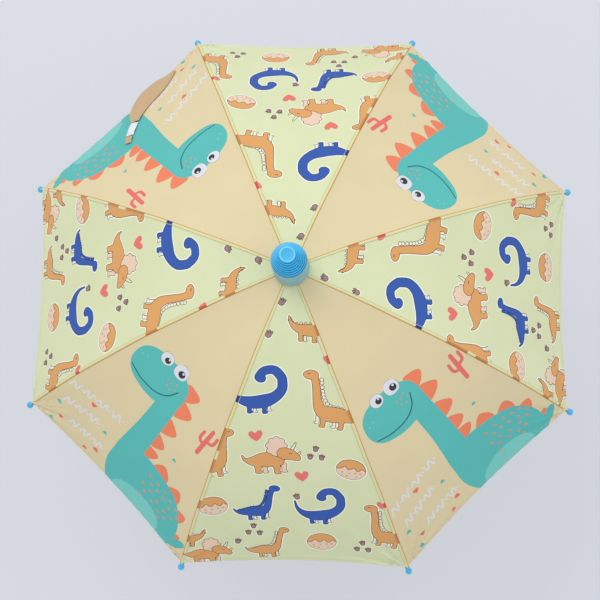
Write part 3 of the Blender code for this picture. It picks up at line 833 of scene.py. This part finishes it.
def print_lines(shapes):
    """The points and edges that are left in view when every shape covers those before it."""
    points, rings = [], []
    for outline in [panel_outline()] + [outline for _, outline in shapes]:
        if area_of(outline) < 0:
            outline = outline[::-1]
        rings.append(list(range(len(points), len(points) + len(outline))))
        points += outline
    flat, _, faces, _, _, origin = delaunay_2d_cdt([Vector(p) for p in points], [], rings, 1, NEAR)
    inside = [(list(face), max(ids)) for face, ids in zip(faces, origin) if 0 in ids]
    colours = [colour_of(shapes, top) for _, top in inside]
    edges = colour_borders([face for face, _ in inside], colours)
    return welded([tuple(p) for p in flat], edges)


def grid_points(fixed):
    """Points to fill the panel, in shifted rows that keep off the fixed points."""
    fixed = np.array(fixed)
    corner = (half_width(CORNER_S) / MM, CORNER_S / MM)
    made = []
    for first, last, gap, step, at_corner in GRID:
        for s in np.arange(first, last, gap):
            wide = half_width(s * MM) / MM
            shift = step / 2 * (round(s) % 2)
            for x in np.arange(-wide + 2 + shift, wide - 1.5, step):
                if (math.hypot(corner[0] - abs(x), corner[1] - s) < CREASED) != at_corner:
                    continue
                on_cloth = s < float(rim_at(x * MM)) / MM - 1.5
                if on_cloth and np.min(np.abs(fixed - (x, s)).sum(1)) > 0.4 * step:
                    made.append((x, s))
    return made


def flat_mesh(shapes):
    """The flat panel cut into triangles along every drawn line: points in mm, faces, and colours by face."""
    points, edges = print_lines(shapes)
    for inset in (HEM_WIDE / MM - 0.5, HEM_WIDE / MM + 0.5):
        xs = np.linspace(-0.995, 0.995, 60) * half_width(CORNER_S - HEM_WIDE) / MM
        edges += [(len(points) + i, len(points) + i + 1) for i in range(len(xs) - 1)]
        points += [(x, float(rim_at(x * MM)) / MM - inset) for x in xs]
    points += grid_points(points)
    flat, _, faces, _, _, _ = delaunay_2d_cdt([Vector(p) for p in points], edges, [], 0, NEAR)
    flat = np.array([tuple(p) for p in flat])
    middles = np.array([flat[list(face)].mean(0) for face in faces])
    on_panel = top_shapes([(None, panel_outline())], middles[:, 0], middles[:, 1])
    top = top_shapes(shapes, middles[:, 0], middles[:, 1])
    kept = [list(face) for face, inside in zip(faces, on_panel) if inside]
    colours = [colour_of(shapes, number) for number, inside in zip(top, on_panel) if inside]
    return flat, kept, colours


def stitches(count, place):
    """Small raised threads in a row. Place gives a point and a normal at a distance along it."""
    points, faces = [], []
    for i in range(count):
        start, normal = place(i * STITCH_EVERY)
        end, _ = place(i * STITCH_EVERY + STITCH_LONG)
        along = end - start
        side = np.cross(normal, along)
        side *= STITCH_WIDE / 2 / np.linalg.norm(side)
        base = len(points)
        raised = ((start + along * 0.25, 1, 1), (end - along * 0.25, 1, 1))
        for spot, up, broad in ((start, -0.3, 0.7), *raised, (end, -0.3, 0.7)):
            points += [spot - side * broad, spot + normal * STITCH_TALL * up, spot + side * broad]
        for k in range(3):
            a = base + 3 * k
            faces += [[a, a + 3, a + 4, a + 1], [a + 1, a + 4, a + 5, a + 2], [a + 2, a + 5, a + 3, a]]
        faces += [[base, base + 1, base + 2], [base + 11, base + 10, base + 9]]
    return points, faces


def make_panel(number, flat, base, materials):
    """One cloth panel with a front, a back and a folded hem, from its flat mesh."""
    points, faces, colours = flat
    x, s = points[:, 0] * MM, points[:, 1] * MM
    seed, step = panel_seed(number), 0.2 * MM

    def surface(x, s):
        """Points of the cloth's front, and its normals."""
        here = wrapped(x, s, cloth_lift(x, s, seed))
        down = wrapped(x, s + step, cloth_lift(x, s + step, seed))
        aside = wrapped(x + step, s, cloth_lift(x + step, s, seed))
        out = np.cross(down - here, aside - here)
        return here, out / np.linalg.norm(out, axis=1, keepdims=True)

    def hem_place(distance):
        span = half_width(CORNER_S - 6 * MM) * 1.96
        hx = np.array([span / 2 - distance])
        here, out = surface(hx, rim_at(hx) - STITCH_IN)
        return here[0], out[0]

    front, normal = surface(x, s)
    back = front - normal * CLOTH_THICK
    count = len(front)
    front_faces = [list(face)[::-1] for face in faces]
    back_faces = [[v + count for v in face] for face in faces]
    directed = {(a, b) for face in front_faces for a, b in zip(face, face[1:] + face[:1])}
    walls = sorted([b, a, a + count, b + count] for a, b in directed if (b, a) not in directed)
    thread_points, thread_faces = stitches(int(half_width(CORNER_S) * 1.94 / STITCH_EVERY), hem_place)
    plain_faces = walls + [[v + 2 * count for v in face] for face in thread_faces]
    all_faces = front_faces + back_faces + plain_faces
    all_points = np.concatenate([front, back, thread_points])
    made = mesh_object(f"cloth_panel_{number}", all_points, all_faces, materials, 60)
    mesh = made.data
    slots = [0] * len(front_faces) + [1] * len(back_faces) + [0] * len(plain_faces)
    mesh.polygons.foreach_set("material_index", slots)
    dye = [linear(base if c is None else c) for c in colours]
    dye_faces(mesh, all_faces, dye + dye + [linear(toned(base, 0.93))] * len(plain_faces))
    flat_uv = np.concatenate([np.stack([x, s], 1)] * 2 + [np.zeros((len(thread_points), 2))])
    corners = np.concatenate(all_faces)
    mesh.uv_layers.new(name="flat").data.foreach_set("uv", flat_uv[corners].astype(np.float32).ravel())
    custom = np.concatenate([normal, -normal, np.zeros((len(thread_points), 3))])
    mesh.normals_split_custom_set_from_vertices(custom.tolist())
    mesh.transform(round_z(TURN * (number - 1)))
    return made


def gather(piece, number):
    """The piece rides on its panel's body, with a mesh of its own."""
    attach(piece, f"panel_{number}")
    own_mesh(piece)


# ---- Seams over the ribs ----
SEAM_FROM = 15 * MM
SEAM_TO = RIB_LENGTH - 6.5 * MM
SEAM_HALF = 2.6 * MM
SEAM_TALL = 0.5 * MM
SEAM_STEPS = 230
SEAM_COLUMNS = (-1, -0.8, -0.45, -0.05, 0.35, 0.7, 1)  # half widths towards the green panel


def seam_point(s, aside, up):
    """A point over the rib that faces +X: aside is across the seam, up is off the cloth."""
    radius, height = cloth_at(s)
    slope = slope_at(s)
    inward = abs(aside) * math.tan(HALF_TURN)
    return Vector((radius - inward + up * math.sin(slope), aside, height + up * math.cos(slope)))


def seam_ring(number, share):
    """The seam's section at a share of its length: up over the band, then back under it."""
    green_side = 1 if number % 2 == 0 else -1
    s = SEAM_FROM + (SEAM_TO - SEAM_FROM) * share
    pucker = 0.1 * MM * math.sin(s / (1.5 * MM) + 2 * math.sin(s / (13 * MM) + number))
    drift = 0.25 * MM * math.sin(s / (21 * MM) + number * 2)
    half = SEAM_HALF * (0.75 + 0.25 * min(1, share * 5)) * (1 - 0.25 * max(0, share - 0.97) / 0.03)
    ring = []
    for v in SEAM_COLUMNS:
        rise = SEAM_TALL * (1 - v * v) ** 0.7 + 0.12 * MM + pucker * (1 - abs(v))
        ring.append(seam_point(s, (v * half + drift) * green_side, rise))
    return ring + [seam_point(s, (v * half * 0.9 + drift) * green_side, -0.45 * MM) for v in (1, -1)]


def make_seam(number, beside):
    """The band where two panels are sewn over a rib. Beside is the green print's colour along that edge."""
    points, faces = lofted([seam_ring(number, i / SEAM_STEPS) for i in range(SEAM_STEPS + 1)])
    made = mesh_object(f"seam_{number}", points, faces, [BEIGE_CLOTH], 50)
    mesh = made.data
    dye = []
    for fold in beside:
        strips = [SEAM_GOLD, SEAM_YELLOW, SEAM_YELLOW, SEAM_PALE]
        if fold in (ORANGE, BLUE, PEACH, HEART_RED):
            deep = deepened(fold)
            strips = [toned(deep, 0.84), toned(deep, 0.96), deep, deep]
        # The first strip is a painted shadow along the band's beige edge. Then come the folded cloth's own
        # colours, a darker green strip at the green edge, and the band's sides and underside.
        dye += [linear(c) for c in (SEAM_SHADOW_LINE, *strips, toned(GREEN, 0.84), GREEN, BEIGE, BEIGE)]
    dye_faces(mesh, faces, dye + [linear(BEIGE)] * 2)
    uv = mesh.uv_layers.new(name="flat")
    for loop in mesh.loops:
        co = mesh.vertices[loop.vertex_index].co
        uv.data[loop.index].uv = (co.y, co.x)
    face_outwards(mesh)
    mesh.transform(round_z(rib_angle(number)))
    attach(made, f"rib_{number}")
    return made


def edge_colours(shapes, side):
    """The print's colours down one edge of a panel, at the seam's stations."""
    s = (SEAM_FROM + (SEAM_TO - SEAM_FROM) * (np.arange(SEAM_STEPS) + 0.5) / SEAM_STEPS) / MM
    x = side * (half_width(s * MM) / MM - 1.5)
    return [colour_of(shapes, number) for number in top_shapes(shapes, x, s)]


def make_canopy():
    shapes = green_print()
    green = flat_mesh(shapes)
    beige = flat_mesh(beige_print())
    edges = {side: edge_colours(shapes, side) for side in (-1, 1)}
    seams = [make_seam(number, edges[1 if number % 2 else -1]) for number in range(1, RIB_COUNT + 1)]
    for number in range(1, RIB_COUNT + 1):
        if number % 2:
            made = make_panel(number, green, GREEN, [GREEN_CLOTH, GREEN_BACK])
        else:
            made = make_panel(number, beige, BEIGE, [BEIGE_CLOTH, BEIGE_BACK])
        gather(made, number)
        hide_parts(f"panel_{number}")


# ---- Closing strap ----
STRAP_PANEL = 4
STRAP_THICK = 0.8 * MM
PATCH_THICK = 0.9 * MM


def make_ribbon(name, route, material, thick, bulge):
    """A ribbon on the strap's panel.

    A route row is mm down, -1 to 1 across, mm wide, degrees of tilt, mm up.
    """
    rows = spline(route, 8)
    spots = []
    for s, across, *_ in rows:
        x, down = np.array([across * half_width(s * MM)]), np.array([s * MM])
        spots.append(wrapped(x, down, cloth_lift(x, down, panel_seed(STRAP_PANEL)))[0])
    rings = []
    for i, (s, _, wide, tilt, up) in enumerate(rows):
        share = i / (len(rows) - 1)
        ahead = spots[min(i + 1, len(rows) - 1)] - spots[max(i - 1, 0)]
        slope = slope_at(s * MM)
        normal = np.array((math.sin(slope), 0, math.cos(slope) * math.cos(HALF_TURN)))
        normal /= np.linalg.norm(normal)
        side = np.cross(normal, ahead)
        side /= np.linalg.norm(side)
        if side[0] < 0:
            side = -side
        lean = math.radians(tilt)
        over = side * math.cos(lean) + normal * math.sin(lean)
        facing = normal * math.cos(lean) - side * math.sin(lean)
        upper, lower = [], []
        for v in np.linspace(-1, 1, 13):
            crown = bulge * MM * (1 - v * v) * math.sin(math.pi * min(1, 0.15 + share))
            crown += 0.35 * MM * math.sin(9 * share + 4 * v) + 0.25 * MM * math.sin(23 * share - 5 * v)
            spot = spots[i] + over * v * wide / 2 * MM + normal * (1.1 + up) * MM
            spot = spot + facing * max(-0.3 * MM, crown)
            upper.append(spot + facing * thick)
            lower.append(spot)
        rings.append(lower + upper[::-1])
    points, faces = lofted(rings)
    made = mesh_object(name, points, faces, [material], 50)
    face_outwards(made.data)
    made.data.transform(round_z(TURN * (STRAP_PANEL - 1)))
    gather(made, STRAP_PANEL)
    return made


def make_strap():
    strap_route = (
        (452, -0.67, 6, 4, 0), (448, -0.61, 12, 12, 1.2), (443, -0.53, 18, 22, 3.5),
        (439.5, -0.43, 23, 26, 5), (438, -0.32, 25, 27, 5.5),
        (436, -0.235, 25, 26, 5), (430, -0.15, 23, 22, 4.5), (423, -0.085, 19, 14, 3),
        (414, -0.04, 13.5, 6, 1.4),
    )
    patch_route = ((411.5, -0.025, 13.5, 4, 1.2), (403, 0.043, 13, 3, 0.8), (394, 0.11, 13, 2, 0.4))
    tab_route = (
        (392, 0.122, 12, 2, 0.3), (388.5, 0.143, 11.5, 2, 1.2), (385, 0.165, 10.5, 4, 0.6),
        (380, 0.192, 9.5, 8, 0.8),
    )
    strap = make_ribbon("strap", strap_route, STRAP_CLOTH, STRAP_THICK, 2.0)
    patch = make_ribbon("strap_hook_patch", patch_route, HOOK_TAPE, PATCH_THICK, 0.8)
    tab = make_ribbon("strap_pull_tab", tab_route, STRAP_CLOTH, STRAP_THICK, 0.5)
    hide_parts("closure_strap")
    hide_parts("strap_patch")
    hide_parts("strap_tab")


# ---- Drip cover ----
RING_COUNT = 7
RING_RADIUS = 24 * MM
RING_STEP_IN = 1.86 * MM
RING_STEP_UP = 5.3 * MM
RING_HEIGHT = 50.5 * MM
RING_BASE = 0.5 * MM
RING_WALL = 1.1 * MM
RING_LIP = 0.46 * MM
RIM_LIP = 0.6 * MM
CAP_DISC = 9.5 * MM
CAP_RECESS = 0.6 * MM
COVER_STEPS = 96


def ring_profile(index):
    """One ring, from the outermost, which is 0: a rounded rim on top, and a foot that turns out."""
    outside = RING_RADIUS - RING_STEP_IN * index
    inside = outside - RING_WALL
    low = RING_BASE + RING_STEP_UP * index
    high = low + RING_HEIGHT
    foot = RING_LIP if index else 0.0
    rounding = 0.42 * MM
    profile = [(inside, low), (outside + foot - 0.2 * MM, low), (outside + foot, low + 0.2 * MM)]
    profile += [(outside + foot, low + 0.8 * MM), (outside, low + 1.0 * MM)]
    profile += [(outside - 0.1 * MM, low + 6 * MM), (outside, high - 3 * MM)]
    profile += arc((outside - rounding, high - rounding), rounding, 0, 90, 5)
    profile += arc((inside - RIM_LIP + rounding, high - rounding), rounding, 90, 180, 5)
    profile += [(inside - RIM_LIP, high - 0.9 * MM), (inside, high - 1.1 * MM)]
    return profile


def cap_profile():
    """The cap: a foot that turns out, a rounded top edge, and a shallow round recess on top."""
    outside = RING_RADIUS - RING_STEP_IN * RING_COUNT
    inside = outside - RING_WALL
    low = RING_BASE + RING_STEP_UP * RING_COUNT
    high = low + RING_HEIGHT
    floor = high - CAP_RECESS
    rounding = 1.5 * MM
    profile = [(inside, low), (outside + RING_LIP, low)]
    profile += [(outside + RING_LIP, low + 1.0 * MM), (outside, low + 1.2 * MM)]
    profile += arc((outside - rounding, high - rounding), rounding, 0, 90, 8)
    profile += [(CAP_DISC - 1.2 * MM, high), (CAP_DISC - 1.5 * MM, high - 0.5 * MM)]
    profile += [(CAP_DISC - 2.1 * MM, floor), (0, floor)]
    profile += [(0, high - 1.8 * MM), (inside, high - 1.8 * MM)]
    return profile


def make_cover():
    base = Matrix.Translation((0, 0, CROWN_Z))
    for index in range(RING_COUNT):
        node = f"cover_ring_{index + 1}"
        finish = SKY_BLUE if index else FROSTED
        made = turned(f"drip_ring_{index + 1}", ring_profile(index), COVER_STEPS, finish, base)
        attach(made, node if index else "frame")
        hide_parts(node)
    cap = turned("drip_cap", cap_profile(), COVER_STEPS, CAP_BLUE, base)
    cap.data.materials.append(LIP_HIGHLIGHT_BLUE)
    # The lip faces round the cap's recess take the lighter blue: a painted highlight
    top = CROWN_Z + RING_BASE + RING_STEP_UP * RING_COUNT + RING_HEIGHT
    for face in cap.data.polygons:
        on_painted_highlight = CAP_DISC - 1.6 * MM < face.center.xy.length < CAP_DISC + 1.2 * MM
        if on_painted_highlight and face.center.z > top - 0.3 * MM:
            face.material_index = 1
    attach(cap, "cover_cap")
    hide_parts("cover_cap")


# ---- Tips ----
def make_tips():
    """A ball on a short socket at the end of every rib. The profile starts at the socket's mouth."""
    start = math.degrees(math.asin(3.2 / 4.8))
    socket = ((2.1, -9), (2.9, -9), (3.2, -8.7), (3.2, -7), (2.9, -6.6), (3.0, -4.2))
    profile = [(radius * MM, height * MM) for radius, height in socket]
    profile += arc((0, 0), TIP_BALL, start - 90, 90, 22)[:-1]
    profile += [(0, TIP_BALL), (0, 0.3 * MM), (2.1 * MM, -0.5 * MM)]
    radius, height = cloth_at(RIB_LENGTH)
    height -= RIB_BELOW_CLOTH / np.cos(slope_at(RIB_LENGTH))
    lean = Matrix.Rotation(math.pi / 2 + slope_at(RIB_LENGTH), 4, "Y")
    for number in range(1, RIB_COUNT + 1):
        matrix = round_z(rib_angle(number)) @ Matrix.Translation((radius, 0, height)) @ lean
        made = turned(f"ball_tip_{number}", profile, 40, SKY_BLUE, matrix)
        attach(made, f"rib_{number}")
        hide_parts(f"tip_{number}")


# ---- CAD pieces that keep their shape ----
def finish_cad_pieces():
    finishes = {"steel": STEEL, "blue_plastic": SKY_BLUE, "frosted_plastic": FROSTED}
    finishes |= {"dark_plastic": DARK_PLASTIC, "pale_plastic": PALE_PLASTIC}
    slots = {row["node"]: row["material_slot"] for row in frame["record"]["subparts"]}
    for node, piece in frame["nodes"].items():
        finish = finishes.get(slots[node])
        if finish and not piece.hide_render:
            piece.data.materials.clear()
            piece.data.materials.append(finish)


# ---- Camera, light and floor ----
def make_camera():
    """The view from above that the photograph has, a little off the shaft's line."""
    scale = 0.42  # half the canopy's width, by which the camera's place is given
    middle = Matrix.Translation((0, 0, CROWN_Z - 213.8 * MM))
    tilt = Matrix.Rotation(-0.18155, 4, "X") @ Matrix.Rotation(-0.05119, 4, "Y")
    tilt = tilt @ Matrix.Rotation(-0.01888, 4, "Z")
    back = Matrix.Translation(scale * Vector((0.00169, -0.00807, 5.5)))
    camera = bpy.data.objects.new("camera", bpy.data.cameras.new("camera"))
    camera.data.lens = 95.6
    camera.data.sensor_width = 36
    camera.matrix_world = middle @ tilt.transposed() @ back
    bpy.context.scene.collection.objects.link(camera)
    bpy.context.scene.camera = camera


def area_light(name, place, size, energy, colour):
    """A square light that looks at the canopy."""
    light = bpy.data.lights.new(name, "AREA")
    light.size = size
    light.energy = energy
    light.color = colour
    made = bpy.data.objects.new(name, light)
    made.location = place
    towards = Vector((0, 0, 0.4)) - Vector(place)
    made.rotation_euler = towards.to_track_quat("-Z", "Y").to_euler()
    bpy.context.scene.collection.objects.link(made)


def make_studio():
    """A wide pale floor under a bright even sky, with one broad soft light from the upper left."""
    bpy.context.scene.view_settings.view_transform = "Standard"
    world = bpy.data.worlds.new("studio")
    world.use_nodes = True
    sky = world.node_tree.nodes["Background"]
    sky.inputs["Color"].default_value = linear((238, 240, 246))
    sky.inputs["Strength"].default_value = 0.8
    bpy.context.scene.world = world
    area_light("key", (-1.4, 2.0, 3.9), 2.8, 58, (1.0, 0.985, 0.96))
    area_light("fill", (2.2, 0.4, 3.0), 2.6, 16, (0.97, 0.98, 1.0))
    glow = linear((220, 222, 230))
    paper = new_material("paper", (150, 152, 157), 0.92, Emission_Color=glow, Emission_Strength=0.56)
    half = 30
    corners = [(-half, -half, 0), (half, -half, 0), (half, half, 0), (-half, half, 0)]
    floor = mesh_object("floor", corners, [[0, 1, 2, 3]], [paper])
    floor.location.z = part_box("handle")[0].z - 0.5 * MM


make_camera()
make_canopy()
make_strap()
make_cover()
make_tips()
finish_cad_pieces()
make_studio()
